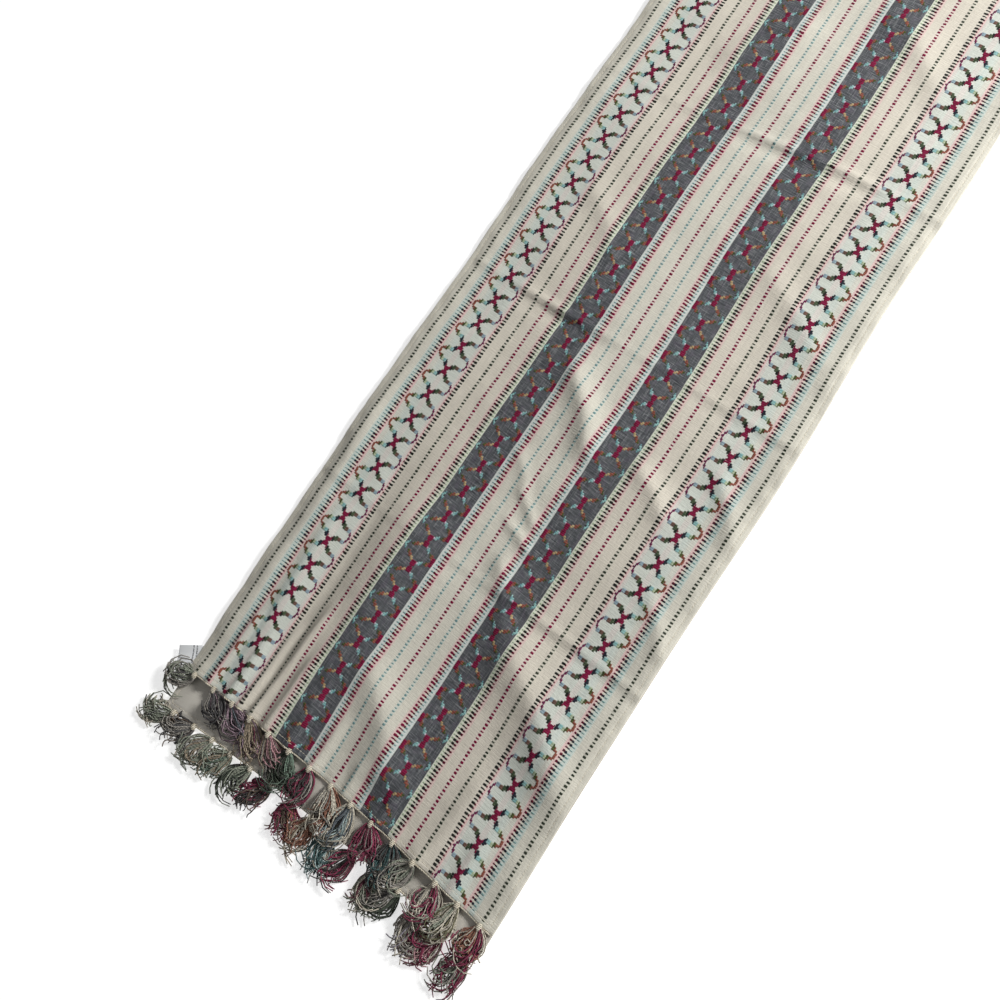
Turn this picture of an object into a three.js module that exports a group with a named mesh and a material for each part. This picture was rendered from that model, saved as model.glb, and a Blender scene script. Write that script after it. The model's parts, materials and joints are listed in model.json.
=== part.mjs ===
// Table runner: a lined woven cloth with a tassel fringe at each end, folded in half and laid flat.
// Units are millimetres. +Y runs along the cloth towards the fold, +X across it, +Z up.
// The origin is the middle of the lower leaf's underside, which is the face that lies on the table.
import * as THREE from 'three';

// ---- cloth ----
const WIDTH = 330; // across, edge to edge
const LENGTH = 1829; // end seam to end seam when opened out, tassels not counted
const FACE = 0.8; // thickness of the patterned face cloth
const LINING = 0.5; // thickness of the plain lining
const PLY_GAP = 0.3; // clearance between a face cloth and its lining
const LEAF_GAP = 0.6; // clearance between the two leaves where they lie on each other
const JOIN_GAP = 0.3; // clearance between a leaf and the strip that turns at the fold

// ---- how the runner lies ----
const SETBACK = 27.5; // the upper end lies this far short of the lower end on the centre line
const UPPER_SKEW = 22; // the upper end's +X corner is this much nearer the tassel tips
const LOWER_SKEW = 6.5; // the same for the lower end

// ---- tassels ----
const TASSELS = 15; // on each end
const CORD_RADIUS = 0.9; // header cord along the end seam
const KNOT_RADIUS = 1.7; // knot that ties each tassel to the header cord
const KNOT_LENGTH = 6; // of a knot along the header cord
const TASSEL_LENGTH = 31; // from the knot to the tips
const TASSEL_THICK = 3.6; // height of a yarn bundle that lies flat
const NECK_WIDTH = 3.4; // of a yarn bundle where it leaves its knot
const TASSEL_GAP = 1.2; // least clearance between two bundles in a row
const LEAN = 2; // how far a bundle's tips may lie to one side
const CLEAR = 0.4; // clearance wherever one piece lies on or beside another

// ---- stitching and label ----
const STITCH_WIDTH = 0.6;
const STITCH_THICK = 0.2;
const STITCH_INSET = 4; // from the edge of the cloth to the stitch line
const STITCH_CLEAR = 0.1; // between the thread and the cloth below it
const LABEL_REACH = 18; // how far the care label stands out of the side seam
const LABEL_LONG = 15; // of the label along the seam
const LABEL_THICK = 0.3;
const LABEL_FROM_END = 5; // from the upper leaf's end seam to the label

// ---- worked out from the above ----
const PLY = FACE + PLY_GAP + LINING; // one lined leaf
const STACK = 2 * PLY + LEAF_GAP; // two leaves on each other
const FOLD_Z = STACK / 2; // height of the line about which the cloth turns
const FOLD_ARC = Math.PI * (FOLD_Z - FACE - PLY_GAP / 2);
const LOWER_LENGTH = (LENGTH - FOLD_ARC + SETBACK) / 2;
const UPPER_LENGTH = LOWER_LENGTH - SETBACK;
const FOLD_Y = LOWER_LENGTH / 2; // the line where the flat leaves end and the turn begins
const LINING_Z = FACE + PLY_GAP; // lower leaf's lining
const UPPER_LINING_Z = PLY + LEAF_GAP;
const UPPER_FACE_Z = UPPER_LINING_Z + LINING + PLY_GAP;
const PITCH = WIDTH / TASSELS;
const TASSEL_WIDTH = PITCH - TASSEL_GAP - LEAN;
const TASSEL_TOP = Math.max(TASSEL_THICK, 2 * KNOT_RADIUS);

// Where a leaf's end seam lies at a place across the cloth.
const lowerEnd = (x) => FOLD_Y - LOWER_LENGTH - (LOWER_SKEW * x) / WIDTH;
const upperEnd = (x) => FOLD_Y - UPPER_LENGTH - (UPPER_SKEW * x) / WIDTH;

// ---- materials ----
const CREAM = 0xd6ceba;
const PLAIN = 0xcfc6b2;
const group = new THREE.Group();
group.name = 'table_runner';

function add(name, geometry, colour, roughness = 0.9) {
  const material = new THREE.MeshStandardMaterial({ color: colour, roughness, metalness: 0 });
  material.name = name;
  const mesh = new THREE.Mesh(geometry, material);
  mesh.name = name;
  group.add(mesh);
}

// A flat piece with the given outline, from height z up to z + thick.
function slab(outline, z, thick) {
  const shape = new THREE.Shape(outline.map(([x, y]) => new THREE.Vector2(x, y)));
  const geometry = new THREE.ExtrudeGeometry(shape, { depth: thick, bevelEnabled: false });
  return geometry.translate(0, 0, z);
}

// A closed body through a row of rings that all have the same number of points.
function loft(rings) {
  const n = rings[0].length;
  const last = rings.length - 1;
  const middle = (ring) => ring
    .reduce((sum, p) => sum.add(p), new THREE.Vector3())
    .divideScalar(n);
  const points = rings.flat();
  points.push(middle(rings[0]), middle(rings[last]));
  const index = [];
  for (let i = 0; i < last; i += 1) {
    for (let j = 0; j < n; j += 1) {
      const a = i * n + j;
      const b = i * n + ((j + 1) % n);
      index.push(a, b, b + n, a, b + n, a + n);
    }
  }
  for (let j = 0; j < n; j += 1) {
    const k = (j + 1) % n;
    index.push(points.length - 2, k, j);
    index.push(points.length - 1, last * n + j, last * n + k);
  }
  const geometry = new THREE.BufferGeometry().setFromPoints(points);
  geometry.setIndex(index);
  geometry.computeVertexNormals();
  return geometry;
}

// ---- face cloth and lining, one piece to each leaf and one round the fold ----
function leaf(end, z, thick) {
  const side = WIDTH / 2;
  const y = FOLD_Y - JOIN_GAP;
  return slab([[-side, end(-side)], [side, end(side)], [side, y], [-side, y]], z, thick);
}

// A strip that turns through half a circle about the fold line.
function turn(inner, thick) {
  const shape = new THREE.Shape();
  shape.absarc(0, 0, inner + thick, -Math.PI / 2, Math.PI / 2, false);
  shape.absarc(0, 0, inner, Math.PI / 2, -Math.PI / 2, true);
  const geometry = new THREE.ExtrudeGeometry(shape, {
    depth: WIDTH,
    bevelEnabled: false,
    curveSegments: 10,
  });
  const across = new THREE.Matrix4().makeBasis(
    new THREE.Vector3(0, 1, 0),
    new THREE.Vector3(0, 0, 1),
    new THREE.Vector3(1, 0, 0),
  );
  return geometry.applyMatrix4(across).translate(-WIDTH / 2, FOLD_Y, FOLD_Z);
}

add('face_cloth_lower', leaf(lowerEnd, 0, FACE), CREAM);
add('lining_lower', leaf(lowerEnd, LINING_Z, LINING), PLAIN);
add('lining_upper', leaf(upperEnd, UPPER_LINING_Z, LINING), PLAIN);
add('face_cloth_upper', leaf(upperEnd, UPPER_FACE_Z, FACE), CREAM);
add('face_cloth_fold', turn(FOLD_Z - FACE, FACE), CREAM);
add('lining_fold', turn(FOLD_Z - LINING_Z - LINING, LINING), PLAIN);

// ---- header cords, with a knot for each tassel ----
const tasselX = (i) => (i - (TASSELS - 1) / 2) * PITCH;

// The cord runs along the end seam, KNOT_RADIUS clear of it, and swells into each knot.
function headerCord(end, z) {
  const sides = 8;
  const steps = [-0.5, -0.36, -0.18, 0.18, 0.36, 0.5];
  const swell = [0, 0.72, 1, 1, 0.72, 0];
  const rings = [];
  const ring = (x, radius) => {
    const points = [];
    for (let j = 0; j < sides; j += 1) {
      const turned = ((j + 0.5) / sides) * 2 * Math.PI;
      const y = end(x) - KNOT_RADIUS - CLEAR + radius * Math.cos(turned);
      points.push(new THREE.Vector3(x, y, z + radius * Math.sin(turned)));
    }
    rings.push(points);
  };
  ring(-WIDTH / 2, CORD_RADIUS);
  for (let i = 0; i < TASSELS; i += 1) {
    steps.forEach((s, k) => {
      const radius = CORD_RADIUS + (KNOT_RADIUS - CORD_RADIUS) * swell[k];
      ring(tasselX(i) + s * KNOT_LENGTH, radius);
    });
  }
  ring(WIDTH / 2, CORD_RADIUS);
  return loft(rings);
}

const LOWER_CORD_Z = KNOT_RADIUS;
const UPPER_CORD_Z = PLY + CLEAR + KNOT_RADIUS;
add('header_cord_lower', headerCord(lowerEnd, LOWER_CORD_Z), 0xd9d2c0);
add('header_cord_upper', headerCord(upperEnd, UPPER_CORD_Z), 0xd9d2c0);

// ---- tassels ----
// A bundle of yarn leaves its knot narrow, spreads to its full width and ends ragged and thin.
// rise(t) is the height of its underside from the knot, t = 0, to the tips, t = 1.
function tassel(i, end, rise, side) {
  const sides = 10;
  const stations = [0, 0.12, 0.3, 0.5, 0.7, 0.88, 1];
  const widths = [0, 0.3, 0.66, 0.86, 1, 0.96, 0.62];
  const heights = [0.72, 0.9, 1, 1, 0.92, 0.7, 0.4];
  const x0 = tasselX(i);
  const y0 = end(x0) - 2 * KNOT_RADIUS - 2 * CLEAR;
  const lean = side * LEAN * Math.sin(1.9 * i + side);
  const length = TASSEL_LENGTH * (0.93 + 0.07 * Math.sin(2.7 * i + side));
  return loft(stations.map((t, k) => {
    const half = (NECK_WIDTH + (TASSEL_WIDTH - NECK_WIDTH) * widths[k]) / 2;
    const high = (TASSEL_THICK * heights[k]) / 2;
    const points = [];
    for (let j = 0; j < sides; j += 1) {
      const turned = ((j + 0.5) / sides) * 2 * Math.PI;
      points.push(new THREE.Vector3(
        x0 + lean * 0.5 * t * t + half * Math.cos(turned),
        y0 - length * t,
        rise(t, x0) + high * (1 + Math.sin(turned)),
      ));
    }
    return points;
  }));
}

// The lower row lies on the table. The upper row lies on the lower leaf's lining and then
// climbs over the lower leaf's own cord and the roots of its tassels.
const step = (t) => Math.min(1, Math.max(0, t)) ** 2 * (3 - 2 * Math.min(1, Math.max(0, t)));
const lowerRise = () => 0;
function upperRise(t, x) {
  const start = PLY + CLEAR;
  const top = TASSEL_TOP + CLEAR;
  const room = upperEnd(x) - 2 * KNOT_RADIUS - 2 * CLEAR - lowerEnd(x);
  const over = Math.max(0.12, room / TASSEL_LENGTH);
  return start + (top - start) * step(t / over);
}

const LOWER_COLOURS = [
  0x8f9384, 0x7d6a4c, 0xa98fa0, 0x4f8a88, 0xa5958b, 0x9fb39a, 0x8fb3b3, 0x8e2247,
  0x9b6a50, 0xa3bab6, 0x7c2440, 0x43504c, 0x9c9186, 0xa49bb0, 0x8b9787,
];
const UPPER_COLOURS = [
  0x8e9184, 0x4b4a4d, 0x4a5663, 0xb48a7a, 0xb85575, 0x3b4034, 0x2f5a5c, 0xa86a5c,
  0xa9c4c0, 0xa64c6e, 0x9c1c44, 0x2e5550, 0xb3ada0, 0xa63a5c, 0xb8a694,
];
for (let i = 0; i < TASSELS; i += 1) {
  const number = String(i + 1).padStart(2, '0');
  add(`tassel_lower_${number}`, tassel(i, lowerEnd, lowerRise, -1), LOWER_COLOURS[i], 0.95);
}
for (let i = 0; i < TASSELS; i += 1) {
  const number = String(i + 1).padStart(2, '0');
  add(`tassel_upper_${number}`, tassel(i, upperEnd, upperRise, 1), UPPER_COLOURS[i], 0.95);
}

// ---- top stitching: a thread along each side seam and each end seam of both leaves ----
function sideStitch(side, end, z) {
  const x = side * (WIDTH / 2 - STITCH_INSET);
  const a = x - STITCH_WIDTH / 2;
  const b = x + STITCH_WIDTH / 2;
  const from = end(x) + 2 * STITCH_INSET;
  const to = FOLD_Y - JOIN_GAP;
  return slab([[a, from], [b, from], [b, to], [a, to]], z, STITCH_THICK);
}
function endStitch(end, z) {
  const side = WIDTH / 2 - STITCH_INSET;
  const y = (x, add2) => end(x) + STITCH_INSET + add2;
  return slab([
    [-side, y(-side, 0)], [side, y(side, 0)],
    [side, y(side, STITCH_WIDTH)], [-side, y(-side, STITCH_WIDTH)],
  ], z, STITCH_THICK);
}
const LOWER_STITCH_Z = PLY + STITCH_CLEAR;
const UPPER_STITCH_Z = STACK + STITCH_CLEAR;
const THREAD = 0xe4ddcc;
add('end_stitch_lower', endStitch(lowerEnd, LOWER_STITCH_Z), THREAD);
add('end_stitch_upper', endStitch(upperEnd, UPPER_STITCH_Z), THREAD);
add('side_stitch_left_lower', sideStitch(-1, lowerEnd, LOWER_STITCH_Z), THREAD);
add('side_stitch_right_lower', sideStitch(1, lowerEnd, LOWER_STITCH_Z), THREAD);
add('side_stitch_left_upper', sideStitch(-1, upperEnd, UPPER_STITCH_Z), THREAD);
add('side_stitch_right_upper', sideStitch(1, upperEnd, UPPER_STITCH_Z), THREAD);

// ---- care label: a blank strip caught in the upper leaf's side seam ----
const labelEdge = -WIDTH / 2 - CLEAR;
const labelY = upperEnd(-WIDTH / 2) + LABEL_FROM_END;
add('care_label', slab([
  [labelEdge - LABEL_REACH, labelY], [labelEdge, labelY],
  [labelEdge, labelY + LABEL_LONG], [labelEdge - LABEL_REACH, labelY + LABEL_LONG],
], UPPER_FACE_Z - PLY_GAP, LABEL_THICK), 0xf2f1ee, 0.6);

export default group;
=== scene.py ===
"""Table runner: a lined woven cloth with a tassel fringe at each end, folded in half and laid flat.

The cloth is worked out flat, in millimetres: x runs across it, y along it towards the fold.
lay() then gives it its place, with its creases, and every piece on the cloth goes through lay().
"""

import json
import math

import bpy
import numpy as np
from mathutils import Matrix, Vector


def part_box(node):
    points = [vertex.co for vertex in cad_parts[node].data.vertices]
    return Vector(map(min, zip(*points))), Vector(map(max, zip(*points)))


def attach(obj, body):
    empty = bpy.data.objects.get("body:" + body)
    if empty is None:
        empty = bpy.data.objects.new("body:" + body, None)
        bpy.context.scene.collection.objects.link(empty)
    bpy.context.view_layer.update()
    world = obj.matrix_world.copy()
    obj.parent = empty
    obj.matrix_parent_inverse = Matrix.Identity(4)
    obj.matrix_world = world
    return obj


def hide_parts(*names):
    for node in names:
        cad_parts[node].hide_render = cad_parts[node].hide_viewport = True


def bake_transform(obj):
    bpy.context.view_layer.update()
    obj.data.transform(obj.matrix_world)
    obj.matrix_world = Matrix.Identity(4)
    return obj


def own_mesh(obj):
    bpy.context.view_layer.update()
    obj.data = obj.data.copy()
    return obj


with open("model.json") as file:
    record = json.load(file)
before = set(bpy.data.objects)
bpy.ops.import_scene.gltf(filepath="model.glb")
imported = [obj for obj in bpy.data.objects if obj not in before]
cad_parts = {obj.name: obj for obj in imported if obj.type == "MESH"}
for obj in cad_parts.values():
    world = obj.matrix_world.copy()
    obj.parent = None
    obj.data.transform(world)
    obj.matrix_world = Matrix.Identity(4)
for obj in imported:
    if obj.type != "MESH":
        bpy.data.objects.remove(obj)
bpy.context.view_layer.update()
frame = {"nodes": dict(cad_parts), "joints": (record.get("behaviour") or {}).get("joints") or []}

MM = 0.001

# ------------------------ sizes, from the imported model
face_low, face_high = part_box("face_cloth_lower")
top_low, top_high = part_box("face_cloth_upper")
lining_low, lining_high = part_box("lining_lower")
over_low, over_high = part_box("lining_upper")
label_low, label_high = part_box("care_label")
hinge = Vector(frame["joints"][0]["pos_m"]) / MM

HALF = face_high.x / MM  # half the cloth's width
FOLD = hinge.y
FACE_THICK = (face_high.z - face_low.z) / MM
LINING_THICK = (lining_high.z - lining_low.z) / MM
TOP = top_high.z / MM  # top of the flat stack
LOWER_FACE = FACE_THICK / 2  # height of the middle of each layer
LOWER_LINING = (lining_low.z + lining_high.z) / 2 / MM
UPPER_LINING = (over_low.z + over_high.z) / 2 / MM
UPPER_FACE = (top_low.z + top_high.z) / 2 / MM
FACE_TURN = UPPER_FACE - hinge.z  # radius at which each cloth turns round the fold
LINING_TURN = UPPER_LINING - hinge.z
TASSELS = sum(name.startswith("tassel_upper") for name in frame["nodes"])
PITCH = 2 * HALF / TASSELS
MOTIF = 24.94  # one repeat of the woven motifs along the cloth
TICK = MOTIF / 8
WEFT_SLANT = -0.106  # the weft runs this much off square
FIRST_MOTIF = -415.4  # where a motif's centre lies on the upper leaf
STITCH_IN = 4.0
THREAD_WIDE = 0.6
FOLD_GAP = 0.32  # each leaf stops this short of the fold, so its round rim only just reaches it


def drop(node):
    """How far an end seam falls from the -x edge to the +x edge, from its row of stitches."""
    low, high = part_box(node)
    return ((high.y - low.y) / MM - THREAD_WIDE) * HALF / (HALF - STITCH_IN)


LOWER_DROP, UPPER_DROP = drop("end_stitch_lower"), drop("end_stitch_upper")
LOWER_NEAR, UPPER_NEAR = face_low.y / MM, top_low.y / MM


def ease(a, b, value):
    """0 up to a, 1 from b, and smooth between."""
    t = np.clip((value - a) / (b - a), 0, 1)
    return t * t * (3 - 2 * t)


def lower_end(x):
    """The y of the lower leaf's end seam."""
    return LOWER_NEAR + LOWER_DROP * (0.5 - x / (2 * HALF))


def upper_end(x):
    """The y of the upper leaf's end seam."""
    return UPPER_NEAR + UPPER_DROP * (0.5 - x / (2 * HALF))


# ------------------------ how the cloth lies
def ripple(x, y, size, seed):
    """Smooth irregular waves about one size, from -1 to 1."""
    turn = np.random.default_rng(seed)
    total = np.zeros(np.broadcast(x, y).shape)
    for _ in range(7):
        a, phase, stretch = turn.uniform(0, 2 * math.pi, 2).tolist() + [turn.uniform(0.7, 1.4)]
        wave = 2 * math.pi / (size * stretch)
        total = total + np.sin(wave * (x * math.cos(a) + y * math.sin(a)) + phase)
    return total / 3.5


def ridge(x, y, start, end, width, sharp):
    """A crease from start to end that fades at both ends, 1 along its crest."""
    (ax, ay), (bx, by) = start, end
    length = math.hypot(bx - ax, by - ay)
    ux, uy = (bx - ax) / length, (by - ay) / length
    along = ((x - ax) * ux + (y - ay) * uy) / length
    off = (x - ax) * -uy + (y - ay) * ux
    off = off + 0.12 * width * np.sin(along * 9.0)
    fade = ease(-0.08, 0.22, along) * (1 - ease(0.75, 1.08, along))
    return np.exp(-np.abs(off / width) ** (1 + sharp)) * fade


def row(motif, x=0.0):
    """The y of a motif on the upper leaf."""
    return FIRST_MOTIF + MOTIF * motif + WEFT_SLANT * x


# The cloth was packed folded, so pressed creases cross it, each a quarter of a leaf apart:
# motif, height, how much it wanders, and the stretch across the cloth where it is sharpest.
PRESSED = [
    (33.5, 1.4, 0.3, -60, 60),
    (24.8, 2.4, 0.7, -10, 100),
    (16.1, 2.6, 0.2, -104, -50),
    (7.2, 1.5, 0.3, 30, 165),
]
# Soft folds: from and to (across, motif), width, height.
SOFT = [
    ((-30, 14.9), (34, 12.2), 12, 4.6),
    ((10, 8.4), (54, 6.2), 9, 2.6),
    ((42, 6.7), (172, 3.2), 21, 5.2),
    ((-30, 3.2), (48, 0.0), 19, 5.0),
    ((-58, 8.2), (-56, -1.8), 24, 4.6),
    ((-101, 10.0), (-99, -1.8), 15, -2.8),
    ((-128, 6.4), (-124, -1.6), 9, 2.4),
    ((-152, 11.0), (-146, 1.0), 10, 2.6),
    ((104, 3.0), (86, -1.8), 12, 2.4),
    ((60, 13.3), (112, 12.1), 10, 2.6),
    ((-8, 10.4), (26, 9.5), 4, 1.5),
    ((-4, 9.3), (34, 8.8), 4, 1.6),
    ((-26, 11.4), (4, 10.2), 5, 1.2),
    ((120, 14.6), (166, 12.6), 9, 2.2),
    ((128, 10.2), (168, 8.6), 8, 2.0),
    ((-110, 20.6), (-40, 18.2), 12, 1.6),
    ((60, 21.2), (150, 19.0), 12, 1.6),
    ((-10, 29.4), (-76, 26.4), 13, 1.6),
    ((30, 31.5), (120, 28.6), 14, 1.6),
    # gathers drawn up by the end seam
    ((-80, 3.6), (-92, -2.0), 4.0, 3.2),
    ((-97, 2.4), (-104, -2.0), 3.5, 3.0),
    ((-66, 2.2), (-74, -2.0), 4.0, 2.7),
    ((-114, 1.6), (-119, -2.0), 3.6, 2.6),
    ((-134, 2.2), (-141, -2.0), 4.2, 2.7),
    ((-46, 1.4), (-50, -2.2), 4.6, 2.4),
    ((-18, 1.0), (-24, -2.4), 4.0, 2.2),
    ((14, 0.6), (10, -2.4), 4.6, 2.0),
    ((52, 1.2), (44, -2.4), 5.0, 2.3),
    ((128, 1.6), (116, -2.4), 6.0, 2.4),
]


LOFT = 2.3  # how high the upper leaf stands over its flat place, on the whole
DEEPER = 1.3  # the soft folds are this much deeper than listed
LOWEST, HIGHEST = 0.05, 10.5


def loose(y):
    """1 along the leaf, and 0 by the fold, where the cloth is pressed flat."""
    return 1 - ease(FOLD - 70, FOLD - 4, y)


def creases(x, y):
    """How high the upper leaf stands over its flat place."""
    high = LOFT + 1.0 * ripple(x, y, 170, 3)
    high = high + 0.45 * ripple(x, y, 52, 5) + 0.12 * ripple(x, y, 17, 8)
    for motif, height, bend, start, stop in PRESSED:
        at = row(motif, x) + 9 * bend * np.sin(x / 70.0) + 5 * (x / HALF)
        sharp = ease(start - 18, start + 8, x) * (1 - ease(stop - 8, stop + 18, x))
        strength = 0.32 + 0.14 * ripple(x, y, 120, int(motif * 10)) + 0.62 * sharp
        off = y - at
        fold = np.exp(-np.abs(off / 3.4) ** 1.4) - 0.6 * np.exp(-(((off + 8) / 7.0) ** 2))
        high = high + height * strength * fold
    for (ax, am), (bx, bm), width, height in SOFT:
        start, end = (ax, row(am, ax)), (bx, row(bm, bx))
        high = high + height * DEEPER * ridge(x, y, start, end, width, 0.6)
    near = 1 - ease(0, 190, y - upper_end(x))
    left = 1 - ease(-150, -20, x)
    high = high + near * left * (1.1 * np.sin(x / 6.5 + y / 60.0) + 1.2)
    # each knot pinches the end seam
    seam = 1 - ease(0, 16, y - upper_end(x))
    high = high + seam * 0.55 * (1 + np.cos(2 * math.pi * x / PITCH))
    side = ease(HALF - 26, HALF, np.abs(x))
    high = high + side * (0.5 + 0.9 * ripple(x * 0.2, y, 60, 11) + 0.3 * ripple(x, y, 12, 13))
    high = high - 1.9 * (1 - ease(-HALF, -HALF + 13, x)) - 0.9 * ease(HALF - 9, HALF, x)
    return np.clip(high, LOWEST, HIGHEST) * loose(y)


def under(x, y):
    """How high the lower leaf stands over its flat place."""
    bare = 1 - ease(-4, 34, y - upper_end(x))
    own = 0.9 + 0.8 * ripple(x, y * 0.6, 70, 21) + 0.35 * ripple(x, y, 24, 23)
    corner = ridge(x, y, (-160, lower_end(-160) + 4), (-118, lower_end(-118) + 26), 9, 0.7)
    own = own + 2.2 * corner + 1.2 * ridge(x, y, (-20, -452), (60, -436), 9, 0.7)
    cover = 0.22 * creases(x, y)
    return np.maximum(bare * own + (1 - bare) * cover, 0) * loose(y)


def shift(x, y, end):
    """How far the cloth has crept sideways and along, by the pull of its seams."""
    near = 1 - ease(0, 230, y - end(x))
    bow = 5.2 * near * (1 - (x / HALF) ** 2)
    drawn = near * (1 - ease(-160, -60, x)) * 4.5
    sway = 1.9 * ripple(x * 0.15, y, 230, 31) * (1 - ease(FOLD - 160, FOLD, y))
    return drawn + sway, bow


class Leaf:
    """One layer of the folded cloth. up is +1 where its good side faces up, and inward is the
    way, up or down, in which its edges turn to meet the layer that it is sewn to."""

    def __init__(self, end, middle, thick, up, rise, inward):
        self.end, self.middle, self.thick = end, middle, thick
        self.up, self.rise, self.inward = up, rise, inward

    def centre(self, x, y):
        dx, dy = shift(x, y, self.end)
        edge = np.maximum(
            ease(HALF - 3.2, HALF, np.abs(x)),
            1 - ease(0, 3.0, y - self.end(x)),
        )
        z = self.middle + self.rise(x, y) - self.inward * edge * 0.3
        groove = np.exp(-(((np.abs(x) - HALF + STITCH_IN) / 0.9) ** 2))
        groove = np.maximum(groove, np.exp(-(((y - self.end(x) - STITCH_IN) / 0.9) ** 2)))
        z = z - self.up * 0.22 * groove
        return np.stack([x + dx, y + dy, z], -1)

    def lay(self, x, y, h):
        """Places points that lie h above the layer's outer side."""
        step = 0.8
        p = self.centre(x, y)
        along_x = self.centre(x + step, y) - self.centre(x - step, y)
        along_y = self.centre(x, y + step) - self.centre(x, y - step)
        normal = np.cross(along_x, along_y)
        normal = normal / np.linalg.norm(normal, axis=-1, keepdims=True)
        reach = self.up * (self.thick / 2 + h)
        return p + normal * reach[..., None]


upper_face = Leaf(upper_end, UPPER_FACE, FACE_THICK, 1, creases, 1)
upper_lining = Leaf(upper_end, UPPER_LINING, LINING_THICK, -1, creases, -1)
lower_lining = Leaf(lower_end, LOWER_LINING, LINING_THICK, 1, under, 1)
lower_face = Leaf(lower_end, LOWER_FACE, FACE_THICK, -1, under, -1)


# ------------------------ node graphs
class Value:
    """An output socket. Arithmetic on it adds Math nodes to its graph."""

    def __init__(self, graph, socket):
        self.graph, self.socket = graph, socket

    def math(self, operation, *others):
        return self.graph.add("ShaderNodeMath", {"operation": operation}, (self, *others))

    def __add__(self, other):
        return self.math("ADD", other)

    __radd__ = __add__

    def __rsub__(self, other):
        return self.graph.add("ShaderNodeMath", {"operation": "SUBTRACT"}, (other, self))

    def __mul__(self, other):
        return self.math("MULTIPLY", other)

    def __abs__(self):
        return self.math("ABSOLUTE")

    def __pow__(self, other):
        return self.math("POWER", other)

    def sin(self):
        return self.math("SINE")

    def above(self, a, b):
        """0 where the value is under a, 1 where it is over b, and smooth between."""
        return self.graph.add(
            "ShaderNodeMapRange", {"interpolation_type": "SMOOTHSTEP"}, (self, a, b, 0.0, 1.0)
        )

    def between(self, a, b, soft):
        return self.above(a - soft, a + soft) * (1 - self.above(b - soft, b + soft))


class Graph:
    """A node tree with one way to add a node: its type, its settings, its inputs."""

    def __init__(self, tree):
        self.tree = tree

    def add(self, kind, settings=None, inputs=(), out=0):
        node = self.tree.nodes.new(kind)
        for name, value in (settings or {}).items():
            setattr(node, name, value)
        pairs = inputs.items() if isinstance(inputs, dict) else enumerate(inputs)
        for key, value in pairs:
            if isinstance(value, Value):
                self.tree.links.new(value.socket, node.inputs[key])
            elif value is not None:
                node.inputs[key].default_value = value
        return Value(self, node.outputs[out])

    def mix(self, factor, a, b, blend="MIX"):
        """Mixes two colours."""
        a, b = ((*c, 1) if isinstance(c, tuple) else c for c in (a, b))
        return self.add(
            "ShaderNodeMix",
            {"data_type": "RGBA", "blend_type": blend},
            {0: factor, 6: a, 7: b},
            out=2,
        )

    def shaded(self, colour, shade):
        """A colour made darker or lighter by a value."""
        tone = self.add("ShaderNodeCombineColor", {}, (shade, shade, shade))
        return self.mix(1.0, colour, tone, "MULTIPLY")

    def noise(self, place, scale, detail=2.0, rough=0.5):
        given = {"Vector": place, "Scale": scale, "Detail": detail, "Roughness": rough}
        return self.add("ShaderNodeTexNoise", {}, given)

    def patches(self, x, y, detail=2.0, rough=0.5):
        """Noise on the flat cloth."""
        return self.noise(self.point(x, y), 1.0, detail, rough)

    def on_cloth(self):
        """x and y on the flat cloth, in millimetres."""
        return self.parts(self.add("ShaderNodeUVMap", {"uv_map": "Weave"}))[:2]

    def in_place(self):
        """The place on the object, in metres."""
        return self.add("ShaderNodeTexCoord", {}, (), out=3)

    def named(self, name):
        """A vector that each point carries."""
        kind = {"data_type": "FLOAT_VECTOR"}
        return self.add("GeometryNodeInputNamedAttribute", kind, {"Name": name})

    def random(self, low, high, seed):
        given = {"Min": low, "Max": high, "Seed": seed}
        return self.add("FunctionNodeRandomValue", {"data_type": "FLOAT"}, given, out=1)

    def point(self, x, y, z=0.0):
        return self.add("ShaderNodeCombineXYZ", {}, (x, y, z))

    def parts(self, vector):
        node = self.add("ShaderNodeSeparateXYZ", {}, (vector,))
        outs = node.socket.node.outputs
        return [Value(self, outs[i]) for i in range(3)]


def linear(red, green, blue):
    """A colour as it is seen, 0 to 255, made linear."""
    return tuple(
        c / 12.92 if c <= 0.04045 else ((c + 0.055) / 1.055) ** 2.4
        for c in (red / 255, green / 255, blue / 255)
    )


def surface(name, colour_of, sheen, bump, depth=0.2 * MM):
    """A cloth or yarn material. colour_of gives colour, roughness and height from its graph."""
    material = bpy.data.materials.new(name)
    material.use_nodes = True
    graph = Graph(material.node_tree)
    shader = material.node_tree.nodes["Principled BSDF"]
    shader.inputs["Sheen Weight"].default_value = sheen
    shader.inputs["Sheen Roughness"].default_value = 0.5
    shader.inputs["Specular IOR Level"].default_value = 0.25
    colour, roughness, height = colour_of(graph)
    links = material.node_tree.links
    links.new(colour.socket, shader.inputs["Base Color"])
    if isinstance(roughness, Value):
        links.new(roughness.socket, shader.inputs["Roughness"])
    else:
        shader.inputs["Roughness"].default_value = roughness
    relief = {"Strength": bump, "Distance": depth, "Height": height}
    links.new(graph.add("ShaderNodeBump", {}, relief).socket, shader.inputs["Normal"])
    return material


CREAM = linear(212, 208, 195)
PINKISH = linear(213, 203, 189)
GREYED = linear(206, 210, 201)
PINK = linear(222, 186, 184)
ROSE = linear(222, 200, 196)
AQUA = linear(194, 208, 203)
ICE = linear(206, 212, 209)
PALE_GREEN = linear(216, 221, 203)
SAGE = linear(192, 196, 180)
PEACH = linear(218, 204, 188)
GREY = linear(84, 86, 90)
PALE_GREY = linear(142, 144, 146)
DEEP_GREY = linear(58, 60, 64)
LINEN = linear(210, 205, 195)

# Where the stripes lie, out from the cloth's middle.
GREY_IN, GREY_OUT = 30.4, 59.5
LATTICE_IN, LATTICE_OUT = 106.0, 137.0
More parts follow.
